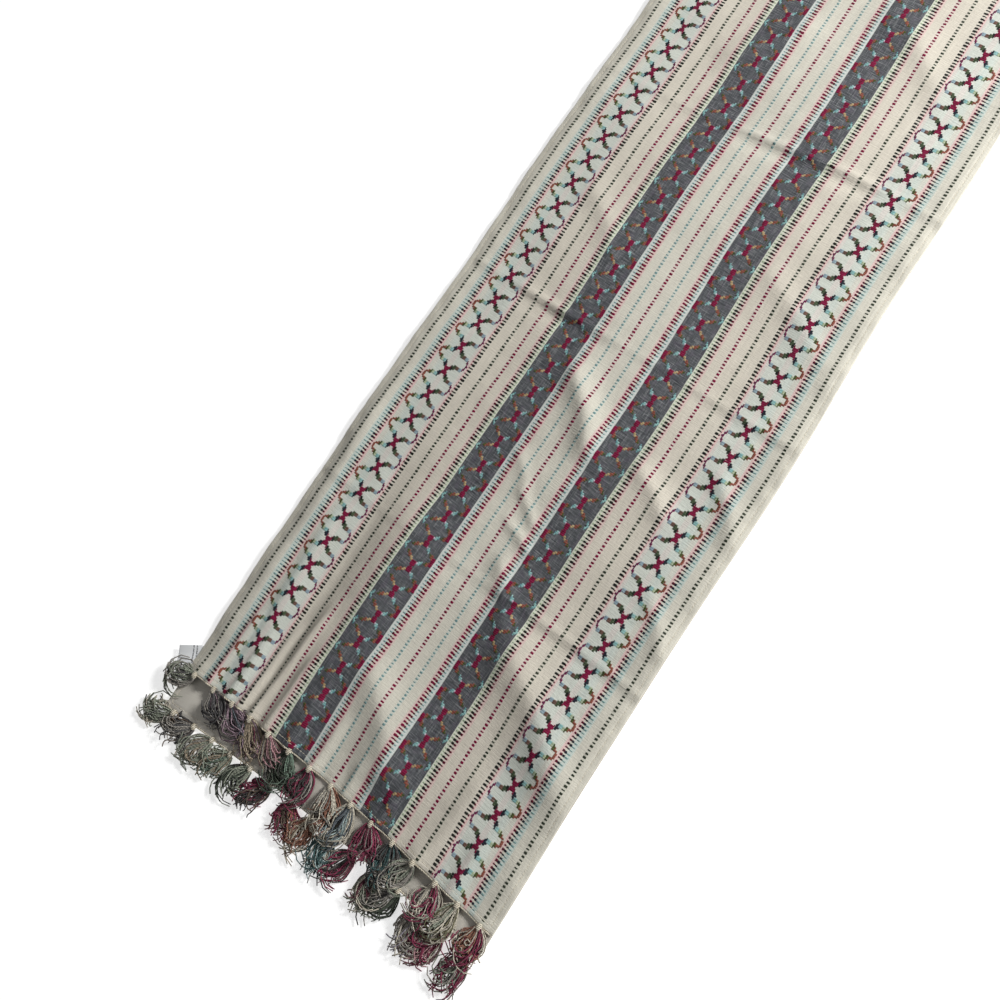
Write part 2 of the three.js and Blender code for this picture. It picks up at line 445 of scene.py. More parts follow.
# Warp stripes of the ground: from, to, softness, strength, colour.
STRIPES = [
    (66.0, 103.0, 6.0, 0.55, PINKISH),
    (-9.0, 1.9, 0.5, 0.45, ROSE),
    (10.1, 12.7, 0.5, 0.40, AQUA),
    (20.7, 24.0, 0.4, 0.65, PINK),
    (26.0, GREY_IN, 0.5, 0.90, ICE),
    (GREY_OUT, 62.2, 0.4, 0.85, PALE_GREEN),
    (65.6, 68.5, 0.4, 0.60, PINK),
    (76.4, 79.6, 0.5, 0.50, ROSE),
    (88.7, 91.3, 0.5, 0.30, SAGE),
    (LATTICE_IN, LATTICE_OUT, 0.5, 1.0, GREYED),
    (104.4, 106.4, 0.3, 0.80, PINK),
    (106.4, 108.8, 0.4, 0.35, ROSE),
    (119.2, 123.8, 0.6, 0.35, ROSE),
    (126.4, 130.2, 0.6, 0.30, AQUA),
    (132.4, 136.6, 0.6, 0.30, PEACH),
    (136.6, 139.4, 0.3, 0.80, PINK),
    (141.9, 146.4, 0.5, 0.75, AQUA),
    (153.0, 156.0, 0.5, 0.30, SAGE),
]
WARP_PITCH = 0.62
WEFT_PITCH = TICK / 4


def weave(graph, x, y, warp=WARP_PITCH, weft=WEFT_PITCH):
    """Height of a plain weave, with thick and thin places in its yarns."""
    across = (x * (math.pi / warp)).sin()
    along = (y * (math.pi / weft)).sin()
    thick = graph.patches(x * 0.9, y * 0.05)
    thin = graph.patches(x * 0.05, y * 1.1)
    return across * along * 0.22 + thick * 0.7 + thin * 0.9


def face_colour(graph):
    x, y = graph.on_cloth()
    off = abs(x)
    colour = CREAM
    for start, stop, soft, strength, tint in STRIPES:
        colour = graph.mix(off.between(start, stop, soft) * strength, colour, tint)
    # the dark bands, with paler slubs both ways
    lengthwise = graph.patches(x * 1.3, y * 0.07, 3.0, 0.6)
    crosswise = graph.patches(x * 0.09, y * 1.15, 3.0, 0.6)
    slubs = graph.mix(lengthwise.above(0.54, 0.66) * 0.65, GREY, PALE_GREY)
    slubs = graph.mix(crosswise.above(0.54, 0.66) * 0.75, slubs, PALE_GREY)
    slubs = graph.mix(1 - crosswise.above(0.34, 0.46), slubs, DEEP_GREY)
    slubs = graph.mix((1 - lengthwise.above(0.36, 0.46)) * 0.6, slubs, DEEP_GREY)
    tint = graph.patches(x * 0.25, y * 0.12, 1.0)
    slubs = graph.mix(tint.above(0.5, 0.7) * 0.25, slubs, linear(104, 92, 110))
    colour = graph.mix(off.between(GREY_IN, GREY_OUT, 0.25), colour, slubs)
    # uneven yarn and a little soiling
    streak = graph.patches(x * 0.9, y * 0.03, 3.0, 0.65)
    weft = graph.patches(x * 0.03, y * 1.0, 3.0, 0.65)
    short = graph.patches(x * 0.22, y * 0.8, 3.0, 0.7)
    cloud = graph.patches(x * 0.012, y * 0.012)
    fleck = graph.patches(x * 1.3, y * 1.5)
    shade = 0.545 + streak * 0.18 + weft * 0.24 + short * 0.26 + cloud * 0.08 + fleck * 0.16
    colour = graph.shaded(colour, shade)
    rough = 0.78 + weft * 0.2
    return colour, rough, weave(graph, x, y) + short * 1.1 + fleck * 0.4


def lining_colour(graph):
    x, y = graph.on_cloth()
    streak = graph.patches(x * 1.4, y * 0.03, 3.0, 0.6)
    weft = graph.patches(x * 0.03, y * 1.6, 3.0, 0.6)
    cloud = graph.patches(x * 0.02, y * 0.02)
    colour = graph.mix(cloud.above(0.35, 0.7) * 0.5, LINEN, linear(196, 190, 179))
    shade = 0.84 + streak * 0.12 + weft * 0.14
    colour = graph.shaded(colour, shade)
    return colour, 0.82 + weft * 0.12, weave(graph, x, y, 0.42, 0.46)


def yarn_material(name, colour, other):
    """A float or thread of one colour, uneven along its length."""

    def colours(graph):
        x, y, _ = graph.parts(graph.in_place())
        place = graph.point(x * (1 / MM), y * (1 / MM))
        blotch, fine = graph.noise(place, 0.35), graph.noise(place, 3.0)
        mixed = graph.mix(blotch.above(0.35, 0.65), colour, other)
        ply = ((x + y * 0.6) * (2 * math.pi / 0.0007)).sin()
        return mixed, 0.75 + fine * 0.2, fine * 0.5 + ply * 0.3

    return surface(name, colours, sheen=0.08, bump=0.6, depth=0.15 * MM)


face_cloth = surface("striped face cloth", face_colour, sheen=0.06, bump=0.8, depth=0.34 * MM)
lining_cloth = surface("plain lining", lining_colour, sheen=0.06, bump=0.5)

YARNS = {
    "C": ("crimson", (130, 18, 62), (104, 10, 46)),
    "M": ("maroon", (98, 20, 44), (70, 16, 34)),
    "K": ("near black", (38, 38, 32), (26, 26, 24)),
    "D": ("dark green", (76, 88, 64), (56, 70, 50)),
    "T": ("turquoise", (112, 156, 160), (80, 130, 140)),
    "A": ("dusty teal", (128, 158, 156), (108, 142, 142)),
    "B": ("light blue", (146, 184, 182), (122, 164, 164)),
    "S": ("grey blue", (148, 166, 174), (128, 146, 158)),
    "P": ("plum", (112, 40, 78), (88, 32, 62)),
    "G": ("brown grey", (112, 84, 74), (90, 68, 60)),
    "N": ("navy", (36, 40, 52), (28, 32, 40)),
    "O": ("olive", (82, 86, 46), (64, 70, 40)),
    "R": ("rust", (142, 84, 70), (120, 68, 56)),
    "Y": ("straw", (182, 160, 122), (160, 136, 98)),
    "L": ("leaf grey", (172, 184, 154), (146, 162, 138)),
    "W": ("pale pink", (204, 182, 198), (186, 160, 180)),
    "E": ("moss", (60, 66, 52), (44, 50, 40)),
}
yarn = {
    key: yarn_material(f"{name} yarn", linear(*one), linear(*two))
    for key, (name, one, two) in YARNS.items()
}


# ------------------------ mesh helpers
def shown(name, data):
    """Puts an object in the scene, at the origin."""
    made = bpy.data.objects.new(name, data)
    bpy.context.scene.collection.objects.link(made)
    return made


def as_piece(name, mesh):
    """Shows a finished mesh with smooth shading."""
    mesh.polygons.foreach_set("use_smooth", [True] * len(mesh.polygons))
    return shown(name, mesh)


def new_mesh(name, points, faces, material, uv):
    """Makes a piece from points in millimetres."""
    mesh = bpy.data.meshes.new(name)
    mesh.from_pydata((np.asarray(points) * MM).tolist(), [], faces)
    mesh.update()
    layer = mesh.uv_layers.new(name="Weave")
    corner = np.zeros(len(mesh.loops), np.int32)
    mesh.loops.foreach_get("vertex_index", corner)
    layer.data.foreach_set("uv", np.asarray(uv, np.float32)[corner].ravel())
    mesh.materials.append(material)
    return as_piece(name, mesh)


def grid_faces(rows, columns, first=0, flip=False, wrap=False):
    """The four-sided faces of a grid of points. wrap joins its last column to its first."""
    last = columns if wrap else columns - 1
    i, j = np.meshgrid(np.arange(rows - 1), np.arange(last), indexing="ij")
    here, below = i * columns, (i + 1) * columns
    nxt = (j + 1) % columns
    quad = np.stack([here + j, here + nxt, below + nxt, below + j], -1)
    quad = quad.reshape(-1, 4) + first
    return (quad[:, ::-1] if flip else quad).tolist()


def shell(name, outer, inner, uv, material):
    """Cloth with thickness: an outer and an inner skin, joined round the edge."""
    rows, columns, _ = outer.shape
    count = rows * columns
    ring = (
        [(0, j) for j in range(columns)]
        + [(i, columns - 1) for i in range(1, rows)]
        + [(rows - 1, j) for j in range(columns - 2, -1, -1)]
        + [(i, 0) for i in range(rows - 2, 0, -1)]
    )
    faces = grid_faces(rows, columns) + grid_faces(rows, columns, count, flip=True)
    rim = np.array([i * columns + j for i, j in ring])
    outer, inner = outer.reshape(-1, 3), inner.reshape(-1, 3)
    # a third line round the edge, pushed out, makes it round
    middle = (outer[rim] + inner[rim]) / 2
    centre = middle.mean(0)
    through = outer[rim] - inner[rim]
    out = np.cross(np.roll(middle, -1, 0) - np.roll(middle, 1, 0), through)
    out /= np.linalg.norm(out, axis=1, keepdims=True) + 1e-9
    thick = np.linalg.norm(through, axis=1)
    middle = middle + out * thick[:, None] * 0.4 * np.sign(((middle - centre) * out).sum())
    for a, here in enumerate(rim):
        b = (a + 1) % len(rim)
        faces.append([rim[b], here, 2 * count + a, 2 * count + b])
        faces.append([2 * count + b, 2 * count + a, here + count, rim[b] + count])
    points = np.concatenate([outer, inner, middle])
    flat = uv.reshape(-1, 2)
    return new_mesh(name, points, faces, material, np.concatenate([flat, flat, flat[rim]]))


def spread(length, pitch):
    """Places along a side, closer together at its first edge."""
    edge = np.array([0, 0.7, 1.4, 2.1, 2.8, 3.4, 4.0, 4.6, 5.4, 6.6])
    rest = np.linspace(edge[-1] + pitch, length, max(2, int((length - edge[-1]) / pitch)))
    return np.concatenate([edge, rest])


def cloth_layer(name, layer, pitch, material):
    """One leaf of the face cloth or of the lining."""
    half = spread(HALF, pitch)
    x = np.concatenate([half - HALF, (HALF - half[:-1])[::-1]])
    length = FOLD - layer.end(0.0)
    t = spread(length, pitch) / length
    end = layer.end(x)
    grid_y = end[None, :] + (FOLD - FOLD_GAP - end[None, :]) * t[:, None]
    grid_x = np.broadcast_to(x[None, :], grid_y.shape)
    outer = layer.lay(grid_x, grid_y, np.zeros(grid_y.shape))
    inner = layer.lay(grid_x, grid_y, np.full(grid_y.shape, -layer.thick))
    slant = WEFT_SLANT * (1 if layer.end is upper_end else -1)
    uv = np.stack([grid_x, grid_y - slant * grid_x], -1)
    if layer.up < 0:
        outer, inner, uv = outer[:, ::-1], inner[:, ::-1], uv[:, ::-1]
    return shell(name, outer, inner, uv, material)


def turned_strip(name, radius, thick, material):
    """The cloth that turns round the fold."""
    across = np.linspace(-HALF, HALF, 56)
    turn = np.linspace(-math.pi / 2, math.pi / 2, 11)
    skins = []
    for r in (radius + thick / 2, radius - thick / 2):
        y = hinge.y + r * np.cos(turn)
        z = hinge.z + r * np.sin(turn)
        skins.append(np.stack(np.broadcast_arrays(across[None, :], y[:, None], z[:, None]), -1))
    along = (FOLD + radius * turn)[:, None] - WEFT_SLANT * across
    uv = np.stack(np.broadcast_arrays(across[None, :], along), -1)
    return shell(name, *skins, uv, material)


def on_lower(piece, node, slot, leaf="lower_leaf"):
    """Attaches a piece to the lower leaf, and hides the CAD node it stands for, if any; slot, its
    finish, is not used.
    """
    if node:
        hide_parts(node)
    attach(piece, leaf)


def on_upper(piece, node, slot):
    """The same for the upper leaf, and gives the piece a mesh of its own."""
    on_lower(piece, node, slot, "upper_leaf")
    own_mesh(piece)
    return piece


# ------------------------ the cloth itself
piece_upper_face = cloth_layer("face_cloth_upper_woven", upper_face, 2.6, face_cloth)
piece_upper_lining = cloth_layer("lining_upper_woven", upper_lining, 6.0, lining_cloth)
piece_lower_lining = cloth_layer("lining_lower_woven", lower_lining, 4.5, lining_cloth)
piece_lower_face = cloth_layer("face_cloth_lower_woven", lower_face, 6.0, face_cloth)
strip_face = turned_strip("face_cloth_fold_woven", FACE_TURN, FACE_THICK, face_cloth)
strip_lining = turned_strip("lining_fold_woven", LINING_TURN, LINING_THICK, lining_cloth)

on_upper(piece_upper_face, "face_cloth_upper", "face_cloth")
on_upper(piece_upper_lining, "lining_upper", "lining")
on_lower(piece_lower_lining, "lining_lower", "lining")
on_lower(piece_lower_face, "face_cloth_lower", "face_cloth")
for strip, node, slot, reach in (
    (strip_face, "face_cloth_fold", "face_cloth", FACE_TURN),
    (strip_lining, "lining_fold", "lining", LINING_TURN),
):
    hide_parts(node)
    low, high = hinge.copy(), hinge.copy()
    low.z -= reach
    high.z += reach
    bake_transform(strip)

# ------------------------ woven floats
# One repeat of each band, half of it, from a motif's centre to midway to the next: one letter
# is one float of that yarn, from the band's inner edge on the left to its outer edge.
LATTICE = [
    "..............CCC..............",
    ".............CCCCC.............",
    "...........KKCCCCCNN...........",
    ".........DDKKC...CNNN..........",
    "...SSSGGGDDDK.....NNBBBLLO.....",
    "..PSSSGGGDD........NBBBLLOOR...",
    ".PP......................OORRR.",
    ".P...........................RR",
    "PP...........................RR",
]
DARK_BAND = [
    ".............CC..............",
    "............CCCC.............",
    "............CCCC.............",
    ".........BBWCCCCYY...........",
    "........TBB......YYRR........",
    "...RROD.B..........RRRO......",
    "CCCRRO...............ROO..T..",
    "CCCR......................BB.",
    "CCC.......................NBB",
]
# Rows of ticks and dots: from and to, out from the middle, the yarn, and its share of a
# tick's height.
ROWS = [
    (-1.35, 1.35, "C", 1.0),
    (10.3, 12.5, "A", 0.9),
    (21.9, 24.6, "C", 1.1),
    (24.6, 26.3, "M", 1.1),
    (26.4, 28.6, "A", 0.75),
    (60.3, 62.3, "L", 0.75),
    (62.3, 64.9, "K", 1.15),
    (64.9, 67.1, "M", 1.0),
    (76.7, 79.3, "C", 1.05),
    (88.7, 91.3, "E", 1.0),
    (101.0, 104.0, "K", 1.15),
    (104.0, 105.2, "M", 0.9),
    (138.2, 140.2, "M", 1.05),
    (140.2, 142.3, "N", 1.1),
    (142.5, 145.2, "A", 0.65),
    (153.2, 155.8, "E", 1.0),
]
OVERLAP = 1.06  # neighbouring floats of a band run into each other by this much
FLOAT_SHARE = 0.60  # half height of a band's float, as a share of its row
TICK_SHARE = 0.27
BEAT = (1.15, 0.95, 0.66, 1.05, 0.7, 1.1, 1.1, 0.66)  # how tall the ticks of one repeat are


def runs(line):
    """The floats in one line of a band: (first letter, how many, yarn)."""
    start = 0
    for i in range(1, len(line) + 1):
        if i == len(line) or line[i] != line[start]:
            if line[start] != ".":
                yield start, i - start, line[start]
            start = i


def band_floats(pattern, inner, outer, phase):
    """Floats of one repeat: (out from the middle, along, half length, half height, yarn)."""
    cell = (outer - inner) / len(pattern[0])
    step = MOTIF / (2 * (len(pattern) - 1))
    for k, line in enumerate(pattern):
        for start, count, key in runs(line):
            out = inner + (start + count / 2) * cell
            for sign in (1, -1) if 0 < k < len(pattern) - 1 else (1,):
                along = (k * sign + phase) * step
                yield out, along, count * cell / 2 * OVERLAP, step * FLOAT_SHARE, key


def all_floats():
    """Every float on the upper leaf, by yarn: rows of x, y, half length, half height."""
    by_yarn = {key: [] for key in YARNS}
    repeat = list(band_floats(LATTICE, LATTICE_IN, LATTICE_OUT, 0))
    repeat += list(band_floats(DARK_BAND, GREY_IN, GREY_OUT, 2))
    for start, stop, key, share in ROWS:
        for k, beat in enumerate(BEAT):
            high = TICK * TICK_SHARE * share * beat
            repeat.append(((start + stop) / 2, (k + 0.5) * TICK, (stop - start) / 2, high, key))
    chance = np.random.default_rng(41)
    for n in range(-5, 40):
        for out, along, half, high, key in repeat:
            for side in (-1, 1) if out > 0 else (1,):
                x = side * out
                y = FIRST_MOTIF + MOTIF * n + along + WEFT_SLANT * x
                if y - high < upper_end(x) + 0.6 or y + high > FOLD - 0.5:
                    continue
                wander = chance.normal(0, 0.07, 2)
                by_yarn[key].append((
                    x + wander[0], y + wander[1],
                    half * chance.uniform(0.9, 1.08), high * chance.uniform(0.86, 1.08),
                ))
    return by_yarn


def socket_id(tree, name):
    """The identifier of one of a tree's inputs."""
    return next(
        item.identifier
        for item in tree.interface.items_tree
        if item.item_type == "SOCKET" and item.in_out == "INPUT" and item.name == name
    )


def new_tree(name, inputs):
    """A geometry tree with named inputs. Gives the tree, its graph and its input sockets."""
    tree = bpy.data.node_groups.new(name, "GeometryNodeTree")
    tree.interface.new_socket("Geometry", in_out="INPUT", socket_type="NodeSocketGeometry")
    for label, kind, default in inputs:
        made = tree.interface.new_socket(label, in_out="INPUT", socket_type=kind)
        if default is not None:
            made.default_value = default
    tree.interface.new_socket("Geometry", in_out="OUTPUT", socket_type="NodeSocketGeometry")
    graph = Graph(tree)
    source = tree.nodes.new("NodeGroupInput")
    sockets = {out.name: Value(graph, out) for out in source.outputs if out.name}
    return tree, graph, sockets


def on_points(tree, graph, given, instance, size, turn):
    """Ends a tree: one instance on every point, as plain geometry in the yarn's material."""
    placed = graph.add("GeometryNodeInstanceOnPoints", {}, {
        "Points": given["Geometry"], "Instance": instance, "Scale": size, "Rotation": turn,
    })
    real = graph.add("GeometryNodeRealizeInstances", {}, (placed,))
    dyed = {"Geometry": real, "Material": given["Yarn"]}
    done = graph.add("GeometryNodeSetMaterial", {}, dyed)
    out = tree.nodes.new("NodeGroupOutput")
    tree.links.new(done.socket, out.inputs[0])
    return tree


def run_tree(name, tree, points, values, **carried):
    """Evaluates a tree on loose points, each with the vectors it carries, as a plain mesh."""
    mesh = bpy.data.meshes.new(name)
    mesh.from_pydata([tuple(p) for p in points], [], [])
    for label, vectors in carried.items():
        layer = mesh.attributes.new(label, "FLOAT_VECTOR", "POINT")
        layer.data.foreach_set("vector", np.ravel(vectors))
    holder = shown(name + " points", mesh)
    modifier = holder.modifiers.new("make", "NODES")
    modifier.node_group = tree
    for label, value in values.items():
        modifier[socket_id(tree, label)] = value
    bpy.context.view_layer.update()
    evaluated = holder.evaluated_get(bpy.context.evaluated_depsgraph_get())
    made = bpy.data.meshes.new_from_object(evaluated)
    bpy.data.objects.remove(holder)
    return made


def float_tree():
    """Padded floats: a small domed patch on every point, sized by the point."""
    tree, graph, given = new_tree("padded floats", [
        ("Unevenness", "NodeSocketFloat", 0.1),
        ("Seed", "NodeSocketInt", 3),
        ("Yarn", "NodeSocketMaterial", None),
    ])
    patch = graph.add("GeometryNodeMeshGrid", {}, (2.0, 2.0, 5, 4))
    place = graph.add("GeometryNodeInputPosition")
    x, y, _ = graph.parts(place)
    dome = (1 - x * x * x * x) * (1 - y * y)
    narrow = 1 - abs(x) ** 4 * 0.15
    shape = {"Geometry": patch, "Position": graph.point(x, y * narrow, dome)}
    domed = graph.add("GeometryNodeSetPosition", {}, shape)
    size = graph.named("size")
    uneven = given["Unevenness"]
    turn = graph.point(0.0, 0.0, graph.random(uneven * -1.0, uneven, given["Seed"]))
    return on_points(tree, graph, given, domed, size, turn)


def settle(mesh, layer, lift):
    """Moves a flat mesh, in millimetres, onto a layer of the cloth."""
    flat = np.zeros(len(mesh.vertices) * 3, np.float32)
    mesh.vertices.foreach_get("co", flat)
    flat = flat.reshape(-1, 3).astype(float)
    laid = layer.lay(flat[:, 0], flat[:, 1], flat[:, 2] + lift)
    mesh.vertices.foreach_set("co", (laid * MM).astype(np.float32).ravel())
    mesh.update()


floats = float_tree()
FLOAT_RISE = 0.34  # how far a float stands out of the cloth
for key, rows in all_floats().items():
    if not rows:
        continue
    rows = np.array(rows)
    points = np.stack([rows[:, 0], rows[:, 1], np.zeros(len(rows))], -1)
    sizes = np.stack([rows[:, 2], rows[:, 3], np.full(len(rows), FLOAT_RISE)], -1)
    name = "floats_" + YARNS[key][0].replace(" ", "_")
    values = {"Unevenness": 0.05, "Seed": 5, "Yarn": yarn[key]}
    mesh = run_tree(name, floats, points, values, size=sizes)
    settle(mesh, upper_face, 0.07)
    on_upper(as_piece(name, mesh), None, "face_cloth")

# ------------------------ tassels
TUBE_SIDES = 5
STRANDS, LOCKS, STRAND_RINGS = 72, 8, 13  # in each tassel, and along each strand
STRAND_RADIUS = 0.54


def tubes(paths, radius):
    """Round tubes along many paths at once. paths is (tubes, points, 3), in millimetres."""
    count, rings, _ = paths.shape
    ahead = np.gradient(paths, axis=1)
    ahead /= np.linalg.norm(ahead, axis=2, keepdims=True) + 1e-9
    side = np.cross(ahead, np.array([0.12, 0.07, 1.0]))
    side /= np.linalg.norm(side, axis=2, keepdims=True) + 1e-9
    up = np.cross(side, ahead)
    turn = np.arange(TUBE_SIDES) * 2 * math.pi / TUBE_SIDES
    ring = (
        side[:, :, None] * np.cos(turn)[None, None, :, None]
        + up[:, :, None] * np.sin(turn)[None, None, :, None]
    )
    points = paths[:, :, None] + ring * radius[:, :, None, None]
    faces = []
    for k in range(count):
        first = k * rings * TUBE_SIDES
        faces += grid_faces(rings, TUBE_SIDES, first, wrap=True)
        faces.append([first + j for j in range(TUBE_SIDES)][::-1])
        faces.append([first + (rings - 1) * TUBE_SIDES + j for j in range(TUBE_SIDES)])
    along = np.broadcast_to(np.arange(rings)[None, :, None], (count, rings, TUBE_SIDES))
    around = np.broadcast_to(np.arange(TUBE_SIDES)[None, None, :], (count, rings, TUBE_SIDES))
    uv = np.stack([around / TUBE_SIDES, along.astype(float)], -1).reshape(-1, 2)
    return points.reshape(-1, 3), faces, uv


def tassel_material():
    """Plied yarn whose colour comes from each strand."""

    def colours(graph):
        dyed = graph.add("ShaderNodeAttribute", {"attribute_name": "yarn"})
        around, along = graph.on_cloth()
        place = graph.in_place()
        fuzz, blotch = graph.noise(place, 2600.0), graph.noise(place, 260.0)
        twist = ((around + along * 0.42) * (4 * math.pi)).sin()
        # painted shade: the twist term darkens the grooves between the plies and lightens their
        # crests, in step with the bump
        shade = 0.80 + twist * 0.10 + fuzz * 0.16 + blotch * 0.16
        return graph.shaded(dyed, shade), 0.82 + fuzz * 0.15, twist * 0.7 + fuzz * 0.6

    return surface("tassel yarn", colours, sheen=0.12, bump=0.7, depth=0.3 * MM)


dyed_yarn = tassel_material()

DYES = {
    "sage": (146, 151, 136), "tan": (156, 142, 123), "charcoal": (86, 84, 85),
    "slate": (103, 110, 117), "black": (71, 68, 67), "pink": (177, 137, 141),
    "rust": (143, 100, 83), "crimson": (134, 55, 81), "cream": (190, 183, 168),
    "forest": (76, 84, 72), "brown": (106, 92, 81), "teal": (74, 102, 102),
    "ice": (161, 177, 176), "mauve": (148, 127, 137), "olive": (118, 114, 89),
    "grey": (153, 148, 141), "maroon": (105, 55, 69), "lavender": (156, 150, 161),
    "green": (114, 132, 117),
}
# Each tassel, left to right: its yarns, which way it has fallen (degrees, + to the right), how
# far it curls as it lies, and its length.
UPPER_ROW = [
    ("sage grey charcoal", -56, -26, 23), ("charcoal grey mauve", 62, -30, 27),
    ("slate mauve charcoal", 48, 22, 26), ("tan mauve maroon", 40, -24, 28),
    ("grey pink tan", 34, 18, 27), ("forest black green", 2, 24, 26),
    ("crimson black grey", 10, -18, 25), ("rust grey cream", 30, -22, 29),
    ("ice cream slate", 6, -12, 30), ("crimson maroon grey", 14, 20, 27),
    ("teal black charcoal", 22, -24, 29), ("grey sage cream", -24, -20, 26),
    ("crimson grey cream", 16, -22, 28), ("sage olive cream", -18, 24, 27),
    ("crimson cream rust", 12, -26, 27),
]
LOWER_ROW = [
    ("sage charcoal cream", -60, -30, 27), ("brown charcoal grey", -46, -26, 28),
    ("sage grey tan", -40, 22, 28), ("tan sage green", -26, -26, 28),
    ("forest sage black", -34, 24, 28), ("crimson black brown", -26, -22, 28),
    ("crimson brown rust", 14, 26, 27), ("rust cream tan", 4, -26, 27),
    ("ice teal cream", -8, 16, 29), ("crimson black grey", -18, -24, 28),
    ("sage cream maroon", -6, 30, 28), ("forest grey black", -16, -30, 29),
    ("grey cream lavender", -2, 24, 31), ("crimson pink cream", -14, -22, 31),
    ("sage grey crimson", 6, -24, 31),
]


def tassel_root(i, end, layer):
    """Where a tassel leaves the end seam, in place."""
    x = (i - (TASSELS - 1) / 2) * PITCH
    return layer.centre(np.array([x]), np.array([end(x)]))[0]


def tassel(seed, yarns, root, base, fallen, curl, length):
    """Strands that leave the knot together, spread into a plump bunch, and curl at their ends."""
    chance = np.random.default_rng(seed)
    t = np.linspace(0, 1, STRAND_RINGS)[None, :]
    lock = chance.integers(0, LOCKS, STRANDS)
    reach = length * chance.uniform(0.78, 1.16, (STRANDS, 1))
    late = np.clip(t - 0.5, 0, 1) / 0.5
    hook = (chance.normal(0, 0.9, LOCKS)[lock] + chance.normal(0, 0.7, STRANDS))[:, None]
    heading = np.radians(fallen + curl * 1.5 * t**1.6 + hook * 80 * late**1.3)
    step = reach / (STRAND_RINGS - 1)
    x = (np.cumsum(np.sin(heading), 1) - np.sin(heading[:, :1])) * step
    y = -(np.cumsum(np.cos(heading), 1) - np.cos(heading[:, :1])) * step
    # where the strand lies across the bunch, and how high in it
    across = np.linspace(-1, 1, LOCKS)[lock] * 0.72 + chance.uniform(-0.34, 0.34, STRANDS)
    across = across[:, None].clip(-1, 1)
    deep = chance.random((STRANDS, 1))
    swell = np.sin(np.clip(0.02 + t * 0.66, 0, 0.56) * math.pi) ** 0.85
    wave = chance.uniform(0, 2 * math.pi, LOCKS)[lock][:, None]
    wander = chance.uniform(0, 2 * math.pi, (STRANDS, 1))
    aside = across * (1.8 + 10.6 * swell)
    aside = aside + 1.7 * t * np.sin(t * 7 + wave) + 0.9 * t * np.sin(t * 13 + wander)
    x = root[0] + x + np.cos(heading) * aside
    y = root[1] - 2.4 + y + np.sin(heading) * aside
    floor = base(x, y)
    bulk = 1.6 + 4.4 * swell * np.sqrt(np.clip(1 - 0.8 * across**2, 0, 1))
    rise = deep * bulk + 0.5 * t * np.sin(t * 9 + wave)
    lying = 1 - np.exp(-t * 5.0)
    z = (root[2] + (deep - 0.4) * 2.4) * (1 - lying) + (floor + 0.5 + rise) * lying
    z = np.maximum(z, floor + 0.45)
    radius = STRAND_RADIUS * (1 - 0.25 * t**4) * chance.uniform(0.85, 1.15, (STRANDS, 1))
    points, faces, uv = tubes(np.stack([x, y, z], -1), radius)
    shades = [DYES[name] for name in yarns.split()]
    by_lock = chance.choice(len(shades), LOCKS, p=[0.45, 0.3, 0.25])[lock]
    share = np.where(chance.random(STRANDS) < 0.6, by_lock, chance.choice(len(shades), STRANDS))
    colour = np.array([linear(*shades[s]) for s in share])
    colour = colour * chance.uniform(0.75, 1.25, (STRANDS, 1))
    return points, faces, uv, np.repeat(colour, STRAND_RINGS * TUBE_SIDES, 0)


def low_base(x, y):
    """Height of what the lower row lies on."""
    return np.zeros_like(x)


def high_base(x, y):
    """Height of what the upper row lies on: the lower leaf, then the lower row."""
    edge = lower_end(x) + 5.0 * (1 - (x / HALF) ** 2)
    cloth = LOWER_LINING + LINING_THICK / 2 + under(x, np.maximum(y, edge))
    yarns = 4.6 * (1 - ease(14, 34, edge - y))
    return np.where(y > edge, np.maximum(cloth, yarns * ease(-3, 0, edge - y)), yarns + 0.4)


def tassel_row(tassels, end, layer, base, prefix, place, seed):
    """The tassels of one end, from left to right."""
    for i, (yarns, fallen, curl, length) in enumerate(tassels):
        node = f"{prefix}_{i + 1:02d}"
        root = tassel_root(i, end, layer)
        points, faces, uv, colour = tassel(seed + i, yarns, root, base, fallen, curl, length)
        piece = new_mesh(node + "_yarn", points, faces, dyed_yarn, uv)
        dyed = piece.data.color_attributes.new("yarn", "FLOAT_COLOR", "POINT")
        rgba = np.concatenate([colour, np.ones((len(colour), 1))], 1).astype(np.float32)
        dyed.data.foreach_set("color", rgba.ravel())
        place(piece, node, "tassel_yarn")


tassel_row(UPPER_ROW, upper_end, upper_lining, high_base, "tassel_upper", on_upper, 200)
tassel_row(LOWER_ROW, lower_end, lower_face, low_base, "tassel_lower", on_lower, 300)

# ------------------------ header cords and knots
cream_thread = yarn_material("cream thread", linear(226, 219, 202), linear(206, 196, 176))
PLY_RADIUS, PLY_OUT = 0.46, 0.42
TWIST = 3.4  # length of one turn of the cord's two plies
CORD_OUT = 0.9  # how far past the end seam the cord lies
WRAP_RADIUS, WRAPS = 0.56, 4.3
KNOT_OUT, KNOT_HALF = 1.9, 2.4  # a knot's radius, and half its length


